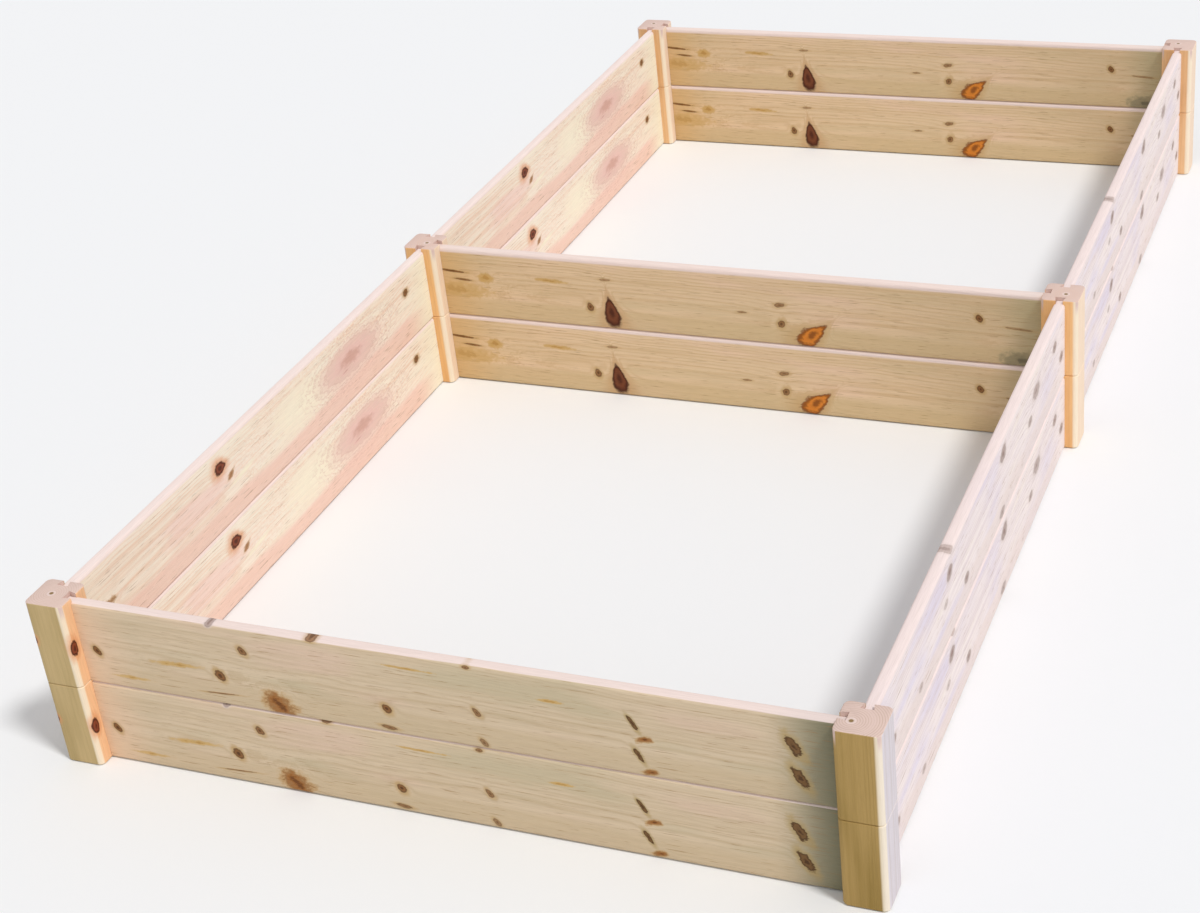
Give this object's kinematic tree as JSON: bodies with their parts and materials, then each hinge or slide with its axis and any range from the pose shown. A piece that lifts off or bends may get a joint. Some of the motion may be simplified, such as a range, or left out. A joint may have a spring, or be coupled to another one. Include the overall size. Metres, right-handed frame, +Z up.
{
  "type": "raised garden bed",
  "caption": "Two-tier softwood raised garden bed with a divider, its boards dovetailed into grooved corner and middle posts.",
  "frame": {"origin": "on the ground, under the middle of the divider", "axes": "+X to the right side, +Y along the bed to its rear end, +Z up"},
  "size_m": [1.251, 2.4384, 0.2797],
  "materials": {
    "board_wood": "untreated planed pale softwood",
    "post_wood": "untreated planed softwood, a little more golden than the boards",
    "dowel_wood": "plain fluted dowel"
  },
  "bodies": {
    "posts": {"front_left_post_lower": "post_wood", "front_right_post_lower": "post_wood", "mid_left_post_lower": "post_wood", "mid_right_post_lower": "post_wood", "rear_left_post_lower": "post_wood", "rear_right_post_lower": "post_wood", "front_left_post_upper": "post_wood", "front_right_post_upper": "post_wood", "mid_left_post_upper": "post_wood", "mid_right_post_upper": "post_wood", "rear_left_post_upper": "post_wood", "rear_right_post_upper": "post_wood", "front_left_dowel": "dowel_wood", "front_right_dowel": "dowel_wood", "mid_left_dowel": "dowel_wood", "mid_right_dowel": "dowel_wood", "rear_left_dowel": "dowel_wood", "rear_right_dowel": "dowel_wood"},
    "front_board_lower": {"front_board_lower": "board_wood"},
    "front_board_upper": {"front_board_upper": "board_wood"},
    "divider_board_lower": {"divider_board_lower": "board_wood"},
    "divider_board_upper": {"divider_board_upper": "board_wood"},
    "rear_board_lower": {"rear_board_lower": "board_wood"},
    "rear_board_upper": {"rear_board_upper": "board_wood"},
    "left_front_board_lower": {"left_front_board_lower": "board_wood"},
    "left_front_board_upper": {"left_front_board_upper": "board_wood"},
    "left_rear_board_lower": {"left_rear_board_lower": "board_wood"},
    "left_rear_board_upper": {"left_rear_board_upper": "board_wood"},
    "right_front_board_lower": {"right_front_board_lower": "board_wood"},
    "right_front_board_upper": {"right_front_board_upper": "board_wood"},
    "right_rear_board_lower": {"right_rear_board_lower": "board_wood"},
    "right_rear_board_upper": {"right_rear_board_upper": "board_wood"}
  },
  "joints": [
    {"name": "front_board_lower_lift", "type": "slide", "parent": "posts", "child": "front_board_lower", "axis": [0, 0, 1], "range_m": [0, 0.285]},
    {"name": "front_board_upper_lift", "type": "slide", "parent": "front_board_lower", "child": "front_board_upper", "axis": [0, 0, 1], "range_m": [0, 0.15]},
    {"name": "divider_board_lower_lift", "type": "slide", "parent": "posts", "child": "divider_board_lower", "axis": [0, 0, 1], "range_m": [0, 0.285]},
    {"name": "divider_board_upper_lift", "type": "slide", "parent": "divider_board_lower", "child": "divider_board_upper", "axis": [0, 0, 1], "range_m": [0, 0.15]},
    {"name": "rear_board_lower_lift", "type": "slide", "parent": "posts", "child": "rear_board_lower", "axis": [0, 0, 1], "range_m": [0, 0.285]},
    {"name": "rear_board_upper_lift", "type": "slide", "parent": "rear_board_lower", "child": "rear_board_upper", "axis": [0, 0, 1], "range_m": [0, 0.15]},
    {"name": "left_front_board_lower_lift", "type": "slide", "parent": "posts", "child": "left_front_board_lower", "axis": [0, 0, 1], "range_m": [0, 0.285]},
    {"name": "left_front_board_upper_lift", "type": "slide", "parent": "left_front_board_lower", "child": "left_front_board_upper", "axis": [0, 0, 1], "range_m": [0, 0.15]},
    {"name": "left_rear_board_lower_lift", "type": "slide", "parent": "posts", "child": "left_rear_board_lower", "axis": [0, 0, 1], "range_m": [0, 0.285]},
    {"name": "left_rear_board_upper_lift", "type": "slide", "parent": "left_rear_board_lower", "child": "left_rear_board_upper", "axis": [0, 0, 1], "range_m": [0, 0.15]},
    {"name": "right_front_board_lower_lift", "type": "slide", "parent": "posts", "child": "right_front_board_lower", "axis": [0, 0, 1], "range_m": [0, 0.285]},
    {"name": "right_front_board_upper_lift", "type": "slide", "parent": "right_front_board_lower", "child": "right_front_board_upper", "axis": [0, 0, 1], "range_m": [0, 0.15]},
    {"name": "right_rear_board_lower_lift", "type": "slide", "parent": "posts", "child": "right_rear_board_lower", "axis": [0, 0, 1], "range_m": [0, 0.285]},
    {"name": "right_rear_board_upper_lift", "type": "slide", "parent": "right_rear_board_lower", "child": "right_rear_board_upper", "axis": [0, 0, 1], "range_m": [0, 0.15]}
  ]
}
